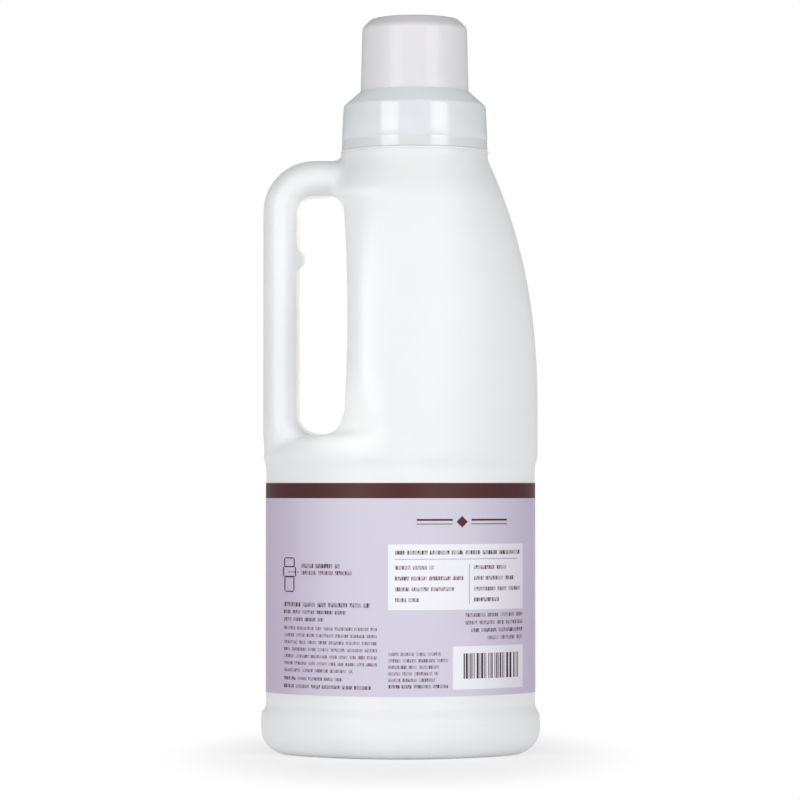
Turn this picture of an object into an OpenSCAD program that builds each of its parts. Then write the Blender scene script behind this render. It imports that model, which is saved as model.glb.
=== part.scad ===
/* [Body] */
// Width of the upper body, from the handle's back to the right flank
body_w = 101.6; // [96:0.2:112]
// Depth of the upper body, front to back
body_d = 78.5; // [70:0.5:90]
// Roundness of the body's oval, 2 is an ellipse and less is more like a lens
body_round = 1.6; // [1.5:0.05:2.4]
// How broadly the oval's front and back are rounded off, as a share of its width
crown = 0.15; // [0.05:0.01:0.3]
// Squareness of the body beside the handle hole, 2 is an ellipse
eye_round = 5.5; // [2.5:0.1:8]
// How far the base stands out past the upper body
base_swell = 0.7; // [0:0.1:2]
// Radius of the corner between the base and the sides
foot_r = 9.8; // [5:0.2:12]
// Height of the base below the label panel
base_h = 19.1; // [16:0.1:26]
// How deep the label panel is sunk into the sides
panel_drop = 1.15; // [0.6:0.05:2]
// Height of the label panel
panel_h = 86.9; // [70:0.1:100]
// Height of the step above the label panel
step_h = 3.4; // [1:0.1:4]
// Rise from the step to the bottom of the handle hole
ledge_h = 8.2; // [7:0.1:16]
// Thickness of the blown wall
wall = 0.9; // [0.6:0.05:1.6]

/* [Foot] */
// Width of the flat band that the bottle stands on
foot_w = 6; // [3:0.5:10]
// Height of the hollow under the base
foot_rise = 3.2; // [1.5:0.1:6]
// Width of the slope between the foot and that hollow
foot_slope = 5; // [3:0.5:10]

/* [Handle] */
// Height of the handle hole
eye_h = 88.8; // [75:0.1:95]
// Width of the handle hole at its ends
eye_w = 17; // [15:0.5:20]
// How far the body's side of the hole is hollowed at mid height
eye_hollow = 1.9; // [0:0.1:3]
// Thickness of the handle's grip, seen from the front
grip_w = 12.4; // [11:0.2:16]
// Depth of the grip, front to back
grip_d = 24; // [18:0.5:28]
// Thickness of the handle's top arm
arm_h = 12.9; // [12:0.1:16]
// How far the grip's lower end is tucked into the ledge
grip_tuck = 0.6; // [0.5:0.1:3]
// Radius of the centre line through the handle's upper corner
grip_bend_r = 12.5; // [10:0.5:15]
// Radius of the hole's upper corner next to the body
eye_top_r = 4.2; // [2:0.2:6]
// Radius of the hole's lower corner next to the body
eye_low_r = 8; // [5:0.5:10]
// Radius of the hole's lower corner next to the grip
eye_foot_r = 7.5; // [4:0.5:8]
// Height of the finger stop above the bottom of the hole
stop_z = 65.2; // [40:0.1:70]
// Length of the finger stop along the grip
stop_h = 8.6; // [6:0.2:12]
// How far the finger stop stands out of the grip
stop_out = 3.1; // [1:0.1:4]
// Width of the thin web left along the mould's parting line
web_w = 1; // [0.3:0.1:1.4]
// Thickness of that web
web_t = 0.5; // [0.3:0.1:1]

/* [Neck] */
// Distance of the neck's axis from the middle of the base
neck_x = 5.24; // [0:0.1:10]
// Height of the shoulder above the handle's top arm
collar_rise = 0.3; // [0.2:0.1:4]
// Height of the collar
collar_h = 2.3; // [1.5:0.1:5]
// How far the bead above the collar stands out
bead_out = 0.3; // [0.1:0.05:1]
// Height of the bead
bead_h = 1; // [0.6:0.1:2]
// Thickness of the neck's wall
neck_wall = 1.4; // [1:0.1:1.6]
// Height of the neck above the bead
neck_h = 11.1; // [9:0.1:12]

/* [Contents] */
// Level of the liquid below the top of the handle
level_drop = 12.8; // [12.8:0.2:40]
// Gap between the liquid and the wall
level_gap = 0.2; // [0.1:0.05:0.5]

/* [Label] */
// Height of the label
label_h = 77.5; // [50:0.5:85]
// Gap between the label's lower edge and the base
label_z = 3.9; // [1:0.1:8]
// Thickness of the label film
label_t = 0.2; // [0.1:0.05:0.4]
// Height of the dark band along the label's upper edge
band_h = 6; // [3:0.5:12]
// Gap between the label and the panel
label_gap = 0.05; // [0.02:0.01:0.2]
// Width of the back's white panel
box_w = 50; // [30:1:60]
// Height of the back's white panel
box_h = 24.2; // [15:0.5:40]
// Distance of that panel's middle from the middle of the base
box_x = 20.3; // [0:0.1:22]
// Height of that panel's lower edge above the label's lower edge
box_z = 30.3; // [20:0.1:38]
// Width of the stock code's white patch
code_w = 25.9; // [15:0.1:30]
// Height of the stock code's patch
code_h = 15.9; // [10:0.1:20]
// Height of that patch above the label's lower edge
code_z = 1.3; // [0.5:0.1:8]

/* [Cap] */
// Outer radius of the cap's tube at the shoulder
tube_r = 20; // [17:0.05:23]
// How much narrower the tube is at its top
tube_taper = 0.6; // [0:0.05:1.5]
// Height of the tube above the shoulder
tube_h = 27; // [20:0.5:40]
// Width of the slanted edge around the tube's top
tube_edge = 3.4; // [1:0.1:5]
// Gap between the neck and the inside of the skirt's upper end
neck_gap = 0.7; // [0.3:0.05:2]
// How much wider the skirt is at its lower edge
skirt_flare = 0.7; // [0.2:0.05:2]
// Height of the skirt below the shoulder
skirt_h = 15.8; // [14:0.1:20]
// Height of the slanted shoulder
cone_h = 5.9; // [4:0.1:8]
// Radius of the edge between the shoulder and the skirt
cone_edge = 1.2; // [0.4:0.1:2]
// Thickness of the cap's wall
cap_wall = 1.1; // [0.8:0.05:1.2]
// Gap between the skirt and the bottle's bead
skirt_gap = 0.4; // [0.2:0.05:1]
// How far the tube reaches below the skirt
tube_drop = 14.3; // [10:0.1:14.4]
// Thickness of the rib that presses on the seal
rib_t = 1.5; // [1:0.1:2]

/* [Thread] */
// Rise of the cap for one turn
pitch = 6; // [5:0.1:7]
// Turns of thread on the cap and in the spout
thread_turns = 1.25; // [1:0.05:1.4]
// Height of a thread ridge where it leaves its wall
ridge_root = 2.2; // [1.5:0.1:2.4]
// Height of a thread ridge at its crest
ridge_crest = 1; // [0.6:0.1:1.4]
// How far the ridges on the cap stand out
ridge_out = 0.9; // [0.6:0.05:1.1]
// Gap between the spout's ridges and the cap's tube
ridge_gap = 0.3; // [0.2:0.05:0.5]
// Gap between the cap's tube and the spout's outer wall
gutter_w = 1.6; // [1.4:0.05:2.5]

/* [Spout] */
// Thickness of the spout's outer wall
spout_wall = 1.45; // [1:0.05:1.5]
// Gap between the spout and the neck's bore
spout_gap = 0.15; // [0.1:0.01:0.25]
// Thickness of the flange on the neck's rim
flange_t = 1.2; // [0.8:0.1:2]
// Thickness of the gutter's floor
floor_t = 1.2; // [0.8:0.1:1.4]
// Gap between the gutter's floor and the end of the cap's tube
gutter_gap = 0.6; // [0.4:0.1:2]
// Outer radius of the pouring tube
pour_r = 12.5; // [8:0.1:15]
// Thickness of the pouring tube
pour_wall = 1.2; // [0.8:0.1:2]
// Height of the pouring lip above the flange
pour_h = 14; // [6:0.5:20]
// How much lower the pouring tube is at its back
pour_drop = 17; // [4:0.5:20]
// Width of the slot through which drips run back
slot_w = 4; // [2:0.5:6]

/* [Seal] */
// Thickness of the seal ring
seal_t = 1.1; // [0.6:0.1:2]
// Gap on either side of the seal ring
seal_gap = 0.1; // [0.05:0.01:0.3]

/* [Hidden] */

// Colours, as they show
milk_white = "whitesmoke";
film_lilac = "thistle";
band_brown = "saddlebrown";
cap_clear = "gainsboro";
seal_grey = "silver";
liquid_blue = "aliceblue";

// Facets round the blown oval, round the grip and round a turned part
oval_facets = 48;
grip_facets = 24;
true_facets = 96;
ridge_steps = 40;
// A cut runs this far past what it cuts
past = 1;
// Height between the corner of the base and the start of its slope to the panel
swell_gap = 3.6;
// Height above the hole's bottom at which the flank starts to lean in, and how sharply it does
flank_rise = 7;
flank_power = 2.4;
// A circle's roundness
ring_round = 2;
// Height of the thread's start above the end of the cap's tube
thread_rise = 1.8;
// Share of its height at which a thread ridge starts and ends
ridge_start = 0.3;
// How far a thread ridge's root is sunk into its wall
ridge_sink = 0.33;
// Gap between the seal and the neck's edge, and between the seal and the gutter's wall
seal_edge = 0.1;
seal_inset = 0.3;

// Heights, from the floor up
panel_top = base_h + panel_h;
body_z = panel_top + step_h;
eye_z = body_z + ledge_h;
eye_top = eye_z + eye_h;
arm_top = eye_top + arm_h;
collar_z = arm_top + collar_rise;
bead_z = collar_z + collar_h;
bead_top = bead_z + bead_h;
rim_z = bead_top + neck_h;
skirt_z = bead_top + skirt_gap;
cone_z = skirt_z + skirt_h;
tube_z = cone_z + cone_h;
cap_top = tube_z + tube_h;
tube_end = skirt_z - tube_drop;
floor_z = tube_end - gutter_gap - floor_t;
flange_top = rim_z + flange_t;
seal_z = flange_top + seal_gap;
rib_z = seal_z + seal_t + seal_gap;

// Places across the bottle
half_w = body_w / 2;
half_d = body_d / 2;
grip_x = grip_w / 2 - half_w;
eye_left = grip_w - half_w;
eye_right = eye_left + eye_w;
// Where the flank starts to lean in towards the neck
flank_z = eye_z + flank_rise;
// Where the body beside the hole has become square, and where it starts to round off again
squared_z = eye_z + eye_h / 3;
rounded_z = eye_z + eye_h / 2;

// Where the corner of the base ends
swell_top = foot_r + swell_gap;

// Radii that fit each other
tube_top_r = tube_r - tube_taper;
gutter_r = tube_r + gutter_w;
spout_r = gutter_r + spout_wall;
bore_r = spout_r + spout_gap;
neck_r = bore_r + neck_wall;
skirt_top_r = neck_r + neck_gap + cap_wall;
skirt_r = skirt_top_r + skirt_flare;
collar_r = skirt_r;
cup_r = tube_r - cap_wall;
seal_in = gutter_r + seal_inset;
// The spout's ridges reach in to just short of the cap's tube
ridge_in_r = tube_r + ridge_gap;

// Share of the way from a to b, kept between 0 and 1
function share(a, b, v) = min(1, max(0, (v - a) / (b - a)));
function blend(a, b, t) = a + (b - a) * t;
// A smooth start and a smooth end
function ease(t) = (1 - cos(180 * t)) / 2;
// The drop of a circle of radius r, a distance d from its middle
function arc(r, d) = sqrt(max(0, r * r - d * d));

// How far the side lies inside the upper body's width at height z
function side(z) =
    z < foot_r ? foot_r - arc(foot_r, foot_r - z) - base_swell
    : z < panel_top ? blend(-base_swell, panel_drop, ease(share(swell_top, base_h, z)))
    : blend(panel_drop, 0, ease(share(panel_top, body_z, z)));

// How far the flank has leaned in at height z, from 0 to 1
function lean(z) = pow(share(flank_z, collar_z, z), flank_power);
function right_x(z) = blend(half_w - side(z), neck_x + collar_r, lean(z));
function depth(z) = blend(half_d - side(z), collar_r, lean(z));
function crest_x(z) = neck_x * share(panel_top, collar_z, z);

// The body's edge beside the handle hole
function hollow(z) = let (m = 2 * share(eye_z, eye_top, z) - 1) eye_hollow * (1 - m * m);
function left_x(z) =
    z <= body_z ? side(z) - half_w
    : z <= eye_z ? eye_mid - (eye_mid + half_w) * arc(1, share(body_z, eye_z, z))
    : z <= eye_z + eye_low_r ? eye_right - eye_low_r + arc(eye_low_r, eye_z + eye_low_r - z)
    : z <= eye_top - eye_top_r ? eye_right + hollow(z)
    : z <= eye_top ? eye_right - eye_top_r + arc(eye_top_r, z - eye_top + eye_top_r)
    : blend(eye_right - eye_top_r, neck_x - collar_r, ease(share(eye_top, collar_z, z)));
eye_mid = eye_right - eye_low_r;

function left_round(z) =
    z < rounded_z ? blend(body_round, eye_round, ease(share(body_z, squared_z, z)))
    : blend(eye_round, ring_round, ease(share(rounded_z, collar_z, z)));
function right_round(z) = blend(body_round, ring_round, lean(z));

// How far an oval of roundness n reaches front and back, for the sine v of its angle
function bulge(v, n) = sign(v) * pow(abs(v), 2 / n);
// How far it reaches to the sides, for the cosine v, with no ridge along its front and back
function spread(v, n) =
    let (flat = pow(crown, n), full = pow(1 + crown * crown, n / 2) - flat)
    sign(v) * sqrt(max(0, pow(v * v * full + flat, 2 / n) - crown * crown));

// The oval at height z, drawn in by inset and set at height at
function oval(z, inset, at) =
    let (xc = crest_x(z), wl = xc - left_x(z) - inset, wr = right_x(z) - xc - inset,
         d = depth(z) - inset)
    [for (i = [0:oval_facets - 1])
        let (a = 360 * i / oval_facets, n = cos(a) < 0 ? left_round(z) : right_round(z))
        [xc + (cos(a) < 0 ? wl : wr) * spread(cos(a), n), d * bulge(sin(a), n), at]];

// Heights at which the body is drawn, closest where it turns fastest
body_levels = concat(
    [for (a = [15:15:75]) foot_r * (1 - cos(a))],
    [foot_r],
    [for (t = [0:0.25:1]) blend(swell_top, base_h, t)],
    [panel_top],
    [for (t = [0.25:0.25:1]) blend(panel_top, body_z, t)],
    [for (a = [15:15:75]) body_z + ledge_h * sin(a)],
    [for (a = [0:15:90]) eye_z + eye_low_r * (1 - cos(a))],
    [for (t = [0.1:0.1:0.9]) blend(eye_z + eye_low_r, eye_top - eye_top_r, t)],
    [for (a = [0:30:90]) eye_top - eye_top_r * (1 - sin(a))],
    [for (t = [0.25:0.25:1]) blend(eye_top, collar_z, t)]);

// A closed skin over a stack of rings, first ring lowest
module loft(rings) {
    n = len(rings[0]);
    m = len(rings);
    polyhedron(
        points = [for (r = rings) each r],
        faces = concat(
            [[for (i = [0:n - 1]) i]],
            [for (k = [0:m - 2], i = [0:n - 1])
                let (a = k * n + i, b = k * n + (i + 1) % n)
                each [[a, a + n, b + n], [a, b + n, b]]],
            [[for (i = [n - 1:-1:0]) (m - 1) * n + i]]));
}

// A ring of the neck, r in radius at height z
function neck_ring(r, z) = oval(collar_z, collar_r - r, z);

// The body with the hollow under its base, its collar, its bead and its neck
module body_form() {
    loft(concat(
        [oval(foot_r, foot_r + foot_w + foot_slope, foot_rise)],
        [oval(foot_r, foot_r + foot_w, 0)],
        [oval(foot_r, foot_r, 0)],
        [for (z = body_levels) oval(z, 0, z)],
        [neck_ring(collar_r, bead_z)],
        [neck_ring(collar_r + bead_out, bead_z)],
        [neck_ring(collar_r + bead_out, bead_top)],
        [neck_ring(neck_r, bead_top)],
        [neck_ring(neck_r, rim_z)]));
}

// The space inside the body, drawn in by inset, and the neck's bore
module body_space(inset) {
    loft(concat(
        [oval(foot_r, foot_r + foot_w + foot_slope, foot_rise + inset)],
        [oval(foot_r, foot_r + foot_w - foot_slope / 2, inset)],
        [for (z = body_levels) if (z > inset) oval(z, inset, z - drop_in(z, inset))],
        [neck_ring(bore_r, bead_z)],
        [neck_ring(bore_r, rim_z + past)]));
}
// The ledge under the handle hole lies nearly flat, so the space below it is lowered by the wall
function drop_in(z, inset) =
    inset * ease(share(panel_top, eye_z, z)) * (1 - ease(share(eye_z, eye_z + eye_low_r, z)));

// The grip's inner edge, which widens into the ledge at its foot
function grip_edge(z) =
    z < eye_z ? eye_left + eye_foot_r
    : z < eye_z + eye_foot_r ? eye_left + eye_foot_r - arc(eye_foot_r, eye_z + eye_foot_r - z)
    : eye_left;

// Stations along the handle: place x and z, tilt, half thickness, from the ledge to the neck
bend_z = arm_top - arm_h / 2 - grip_bend_r;
arm_mid = arm_top - arm_h / 2;
function foot_station(z, tuck = 0) =
    let (e = grip_edge(z)) [(e - half_w + tuck) / 2, z, 0, (e + half_w - tuck) / 2];
grip_stations = concat(
    [foot_station(body_z, grip_tuck)],
    [for (a = [0:22.5:90]) foot_station(eye_z + eye_foot_r * (1 - cos(a)))],
    [for (a = [0:15:90])
        [grip_x + grip_bend_r * (1 - cos(a)), bend_z + grip_bend_r * sin(a), a,
         blend(grip_w, arm_h, a / 90) / 2]],
    [[neck_x - collar_r / 2, arm_mid, 90, arm_h / 2]]);

// The handle's oval at one station
function grip_oval(s, inset) =
    [for (i = [0:grip_facets - 1])
        let (a = 360 * i / grip_facets, u = (s[3] - inset) * cos(a), v = (grip_d / 2 - inset) * sin(a))
        [s[0] + u * cos(s[2]), v, s[1] - u * sin(s[2])]];

module handle_form(inset) {
    for (i = [0:len(grip_stations) - 2])
        hull() polyhedron(
            points = concat(grip_oval(grip_stations[i], inset), grip_oval(grip_stations[i + 1], inset)),
            faces = [for (k = [0:2 * grip_facets - 3]) [k, k + 1, k + 2]]);
}

// The outline of the handle hole, grown by grow
module eye_outline(grow) {
    corners = [
        [eye_left + eye_foot_r, eye_z + eye_foot_r, eye_foot_r],
        [eye_right - eye_low_r, eye_z + eye_low_r, eye_low_r],
        [eye_right - eye_top_r, eye_top - eye_top_r, eye_top_r],
        [eye_left + eye_inner_r, eye_top - eye_inner_r, eye_inner_r]];
    hull()
        for (c = corners)
            translate([c[0], c[1]]) circle(r = c[2] + grow, $fn = 32);
}
eye_inner_r = grip_bend_r - grip_w / 2;

// The web along the parting line, on the handle's side of the hole
module parting_web() {
    side_x = (eye_left + eye_right) / 2;
    intersection() {
        rotate([90, 0, 0]) linear_extrude(web_t, center = true)
            difference() {
                eye_outline(wall / 2);
                eye_outline(-web_w);
            }
        translate([-half_w, -web_t, 0]) cube([side_x + half_w, 2 * web_t, arm_top]);
    }
}

module finger_stop() {
    translate([eye_left, 0, eye_z + stop_z])
        scale([stop_out / stop_h * 2, 1, 1]) sphere(d = stop_h, $fn = 24);
}

module bottle() {
    color(milk_white) difference() {
        union() {
            body_form();
            handle_form(0);
            parting_web();
            finger_stop();
        }
        body_space(wall);
        handle_form(wall);
    }
}

module softener_liquid() {
    level = arm_top - level_drop;
    color(liquid_blue) intersection() {
        union() {
            body_space(wall + level_gap);
            handle_form(wall + level_gap);
        }
        translate([-half_w, -half_d, 0]) cube([2 * half_w, 2 * half_d, level]);
    }
}

// A strip of the label between two heights above its lower edge
module label_strip(low, high) {
    translate([0, 0, base_h + label_z + low]) linear_extrude(high - low)
        difference() {
            polygon([for (p = oval(base_h, -label_gap - label_t, 0)) [p[0], p[1]]]);
            polygon([for (p = oval(base_h, -label_gap, 0)) [p[0], p[1]]]);
        }
}

// A field of the label's back, w wide about x and h high from z
module label_field(x, w, z, h) {
    translate([x - w / 2, -half_d, base_h + label_z + z]) cube([w, half_d, h]);
}

module wrap_label() {
    code_x = box_x + box_w / 2 - code_w / 2;
    color(film_lilac) difference() {
        label_strip(0, label_h - band_h);
        label_field(box_x, box_w, box_z, box_h);
        label_field(code_x, code_w, code_z, code_h);
    }
    color("white") intersection() {
        label_strip(0, label_h - band_h);
        union() {
            label_field(box_x, box_w, box_z, box_h);
            label_field(code_x, code_w, code_z, code_h);
        }
    }
    color(band_brown) label_strip(label_h - band_h, label_h);
}

// A ridge that climbs one pitch a turn, from its wall at root_r to its crest at crest_r
module thread_ridge(root_r, crest_r, start_z) {
    steps = ridge_steps;
    lead_in = steps / 10;
    ring = [for (k = [0:steps])
        let (a = 360 * thread_turns * k / steps, z = start_z + pitch * a / 360,
             full = min(1, blend(ridge_start, 1, min(k, steps - k) / lead_in)),
             r = blend(root_r, crest_r, full))
        [[root_r, -ridge_root / 2], [r, -ridge_crest / 2], [r, ridge_crest / 2], [root_r, ridge_root / 2]]
            * [[cos(a), sin(a), 0], [0, 0, 1]] + [for (j = [0:3]) [0, 0, z]]];
    outward = crest_r > root_r;
    faces = concat(
        [[0, 1, 2, 3]],
        [for (k = [0:steps - 1], j = [0:3])
            let (a = 4 * k + j, b = 4 * k + (j + 1) % 4)
            each [[a, a + 4, b + 4], [a, b + 4, b]]],
        [[for (j = [3:-1:0]) 4 * steps + j]]);
    polyhedron(
        points = [for (q = ring) each q],
        faces = outward ? [for (f = faces) [for (j = [len(f) - 1:-1:0]) f[j]]] : faces);
}

module pour_spout() {
    lip_z = flange_top + pour_h;
    back_z = lip_z - pour_drop;
    pour_in = pour_r - pour_wall;
    thread_z = tube_end + thread_rise + pitch / 2;
    color(cap_clear) translate([neck_x, 0, 0]) {
        difference() {
            rotate_extrude($fn = true_facets) polygon([
                [pour_in, floor_z], [spout_r, floor_z], [spout_r, rim_z], [neck_r, rim_z],
                [neck_r, flange_top], [gutter_r, flange_top], [gutter_r, floor_z + floor_t],
                [pour_r, floor_z + floor_t], [pour_r, lip_z + past], [pour_in, lip_z + past]]);
            rotate([90, 0, 0]) linear_extrude(4 * pour_r, center = true) polygon([
                [-2 * pour_r, back_z - pour_drop / 2], [2 * pour_r, lip_z + pour_drop / 2],
                [2 * pour_r, lip_z + pour_drop], [-2 * pour_r, lip_z + pour_drop]]);
            translate([-pour_r - past, -slot_w / 2, floor_z + floor_t])
                cube([pour_wall + 2 * past, slot_w, lip_z - floor_z]);
        }
        thread_ridge(gutter_r + ridge_sink, ridge_in_r, thread_z);
    }
}

module cap_gasket() {
    color(seal_grey) translate([neck_x, 0, seal_z]) difference() {
        cylinder(r = neck_r - seal_edge, h = seal_t, $fn = true_facets);
        translate([0, 0, -past]) cylinder(r = seal_in, h = seal_t + 2 * past, $fn = true_facets);
    }
}

module measuring_cap() {
    rib_r = (seal_in + neck_r) / 2;
    // Where the shoulder's underside meets the skirt and the tube
    under_z = cone_z - cap_wall;
    under_tube = tube_z - cap_wall;
    slope = (under_tube - under_z) / (skirt_top_r - cap_wall - tube_r);
    function under(r) = under_tube - slope * (r - tube_r);
    thread_z = tube_end + thread_rise;
    color(cap_clear) translate([neck_x, 0, 0]) {
        rotate_extrude($fn = true_facets) polygon([
            [0, cap_top], [tube_top_r - tube_edge, cap_top], [tube_top_r, cap_top - tube_edge],
            [tube_r, tube_z], [skirt_top_r - cone_edge / 2, cone_z + cone_edge / 2],
            [skirt_top_r, cone_z - cone_edge / 2], [skirt_r, skirt_z],
            [skirt_r - cap_wall, skirt_z], [skirt_top_r - cap_wall, under_z],
            [rib_r + rib_t / 2, under(rib_r + rib_t / 2)], [rib_r + rib_t / 2, rib_z],
            [rib_r - rib_t / 2, rib_z], [rib_r - rib_t / 2, under(rib_r - rib_t / 2)],
            [tube_r, under_tube], [tube_r, tube_end], [cup_r, tube_end],
            [cup_r, tube_z], [tube_top_r - cap_wall, cap_top - tube_edge],
            [tube_top_r - tube_edge - cap_wall / 2, cap_top - cap_wall], [0, cap_top - cap_wall]]);
        thread_ridge(tube_r - ridge_sink, tube_r + ridge_out, thread_z);
    }
}

bottle();
softener_liquid();
wrap_label();
pour_spout();
cap_gasket();
measuring_cap();
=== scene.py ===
"""The looks of the fabric softener bottle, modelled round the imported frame.

Sizes are in millimetres times MM.
"""

import math
import random

import bmesh
import bpy
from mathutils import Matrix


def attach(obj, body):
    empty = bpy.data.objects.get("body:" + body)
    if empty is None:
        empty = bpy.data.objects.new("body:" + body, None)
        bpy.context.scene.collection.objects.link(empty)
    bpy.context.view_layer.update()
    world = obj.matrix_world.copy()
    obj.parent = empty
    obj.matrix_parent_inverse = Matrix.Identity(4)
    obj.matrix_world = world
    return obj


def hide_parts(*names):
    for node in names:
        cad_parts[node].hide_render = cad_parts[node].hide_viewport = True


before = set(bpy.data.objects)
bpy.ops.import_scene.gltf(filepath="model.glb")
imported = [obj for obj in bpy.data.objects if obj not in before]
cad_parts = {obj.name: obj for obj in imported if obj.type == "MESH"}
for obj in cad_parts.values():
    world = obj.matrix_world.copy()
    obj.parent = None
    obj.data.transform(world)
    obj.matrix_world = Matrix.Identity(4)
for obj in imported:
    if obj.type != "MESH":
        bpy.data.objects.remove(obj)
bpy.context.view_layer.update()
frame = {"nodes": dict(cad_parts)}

MM = 0.001

# Bottle, as in the construction
HALF_W = 50.8 * MM
HALF_D = 39.25 * MM
BODY_ROUND = 1.6
CROWN = 0.15
BASE_SWELL = 0.7 * MM
FOOT_R = 9.8 * MM
FOOT_W = 6 * MM
FOOT_RISE = 3.2 * MM
FOOT_SLOPE = 5 * MM
BASE_H = 19.1 * MM
SWELL_TOP = FOOT_R + 3.6 * MM
PANEL_DROP = 1.15 * MM
PANEL_TOP = BASE_H + 86.9 * MM
BODY_Z = PANEL_TOP + 3.4 * MM
EYE_Z = BODY_Z + 8.2 * MM
EYE_TOP = EYE_Z + 88.8 * MM
ARM_H = 12.9 * MM
ARM_TOP = EYE_TOP + ARM_H
COLLAR_Z = ARM_TOP + 0.3 * MM
BEAD_Z = COLLAR_Z + 2.3 * MM
BEAD_TOP = BEAD_Z + 1 * MM
RIM_Z = BEAD_TOP + 11.1 * MM
WALL = 0.9 * MM

# Handle and its hole
GRIP_W = 12.4 * MM
GRIP_D = 24 * MM
GRIP_TUCK = 0.6 * MM
GRIP_BEND_R = 12.5 * MM
EYE_LEFT = GRIP_W - HALF_W
EYE_RIGHT = EYE_LEFT + 17 * MM
EYE_HOLLOW = 1.9 * MM
EYE_TOP_R = 4.2 * MM
EYE_LOW_R = 8 * MM
EYE_FOOT_R = 7.5 * MM
EYE_INNER_R = GRIP_BEND_R - GRIP_W / 2
EYE_ROUND = 5.5
EYE_MID = EYE_RIGHT - EYE_LOW_R
# Where the body beside the hole has become square, and where it starts to round off again
SQUARED_Z = EYE_Z + (EYE_TOP - EYE_Z) / 3
ROUNDED_Z = EYE_Z + (EYE_TOP - EYE_Z) / 2
STOP_Z = EYE_Z + 65.2 * MM
STOP_H = 8.6 * MM
STOP_OUT = 3.1 * MM
# Web along the parting line, and how deep its root lies in the plastic
WEB_W = 1 * MM
WEB_T = 0.5 * MM
WEB_ROOT = 1.6 * MM
WEB_ARC_STEPS = 16
WEB_SIDE_STEPS = 80
# Nub that the mould leaves at the base
NUB_R = 1.1 * MM
NUB_H = 1 * MM
NUB_Z = 15.4 * MM

# Neck and cap, on one upright axis
NECK_X = 5.24 * MM
COLLAR_R = 27.1 * MM
BEAD_OUT = 0.3 * MM
NECK_R = 24.6 * MM
FLANK_Z = EYE_Z + 7 * MM
FLANK_POWER = 2.4
RING_ROUND = 2

# Label
LABEL_Z = BASE_H + 3.9 * MM
LABEL_H = 77.5 * MM
LABEL_TOP = LABEL_Z + LABEL_H
LABEL_GAP = 0.05 * MM
LABEL_T = 0.12 * MM
BAND_H = 6 * MM
# Height of a thin bright line along the label's top edge, a painted highlight
EDGE_H = 0.45 * MM

# Height above which painted shade makes the wall greyer, because it is empty behind it
FILL_Z = ARM_TOP - 11 * MM

# How finely the pieces are drawn, and where the bottle's crisp lower part meets its blended upper part
BODY_COLUMNS = 208
GRIP_COLUMNS = 72
LABEL_COLUMNS = 240
NECK_STEPS = 144
CAP_STEPS = 160
RIDGE_STEPS = 100
VOXEL = 1.25 * MM
JOIN_Z = 60 * MM


def share(a, b, v):
    """How far v lies from a to b, kept between 0 and 1."""
    return min(1, max(0, (v - a) / (b - a)))


def blend(a, b, t):
    return a + (b - a) * t


def ease(t):
    return (1 - math.cos(math.pi * t)) / 2


def arc(r, d):
    return math.sqrt(max(0, r * r - d * d))


def side(z):
    """How far the side lies inside the upper body's width at height z."""
    if z < FOOT_R:
        return FOOT_R - arc(FOOT_R, FOOT_R - z) - BASE_SWELL
    if z < PANEL_TOP:
        return blend(-BASE_SWELL, PANEL_DROP, ease(share(SWELL_TOP, BASE_H, z)))
    return blend(PANEL_DROP, 0, ease(share(PANEL_TOP, BODY_Z, z)))


def lean(z):
    """How far the flank has leaned in at height z, from 0 to 1."""
    return share(FLANK_Z, COLLAR_Z, z) ** FLANK_POWER


def hollow(z):
    m = 2 * share(EYE_Z, EYE_TOP, z) - 1
    return EYE_HOLLOW * (1 - m * m)


def left_x(z):
    """The body's left edge, which runs round the handle hole."""
    if z <= BODY_Z:
        return side(z) - HALF_W
    if z <= EYE_Z:
        return EYE_MID - (EYE_MID + HALF_W) * arc(1, share(BODY_Z, EYE_Z, z))
    if z <= EYE_Z + EYE_LOW_R:
        return EYE_MID + arc(EYE_LOW_R, EYE_Z + EYE_LOW_R - z)
    if z <= EYE_TOP - EYE_TOP_R:
        return EYE_RIGHT + hollow(z)
    if z <= EYE_TOP:
        return EYE_RIGHT - EYE_TOP_R + arc(EYE_TOP_R, z - EYE_TOP + EYE_TOP_R)
    return blend(EYE_RIGHT - EYE_TOP_R, NECK_X - COLLAR_R, ease(share(EYE_TOP, COLLAR_Z, z)))


def left_round(z):
    if z < ROUNDED_Z:
        return blend(BODY_ROUND, EYE_ROUND, ease(share(BODY_Z, SQUARED_Z, z)))
    return blend(EYE_ROUND, RING_ROUND, ease(share(ROUNDED_Z, COLLAR_Z, z)))


def bulge(v, n):
    """How far an oval of roundness n reaches front and back, for the sine v of its angle."""
    return math.copysign(abs(v) ** (2 / n), v)


def spread(v, n):
    """How far it reaches to the sides, for the cosine v, with no ridge along its front and back."""
    flat = CROWN ** n
    full = (1 + CROWN * CROWN) ** (n / 2) - flat
    return math.copysign(math.sqrt(max(0, (v * v * full + flat) ** (2 / n) - CROWN * CROWN)), v)


def oval(z, inset, at, columns):
    """The body's outline at height z, drawn in by inset and set at height at."""
    crest = NECK_X * share(PANEL_TOP, COLLAR_Z, z)
    right = blend(HALF_W - side(z), NECK_X + COLLAR_R, lean(z)) - crest - inset
    left = crest - left_x(z) - inset
    depth = blend(HALF_D - side(z), COLLAR_R, lean(z)) - inset
    right_round = blend(BODY_ROUND, RING_ROUND, lean(z))
    points = []
    for i in range(columns):
        c, s = math.cos(math.tau * i / columns), math.sin(math.tau * i / columns)
        n = left_round(z) if c < 0 else right_round
        reach = left if c < 0 else right
        points.append((crest + spread(c, n) * reach, bulge(s, n) * depth, at))
    return points


def heights(low, high, count):
    return [blend(low, high, k / count) for k in range(count + 1)]


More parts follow.
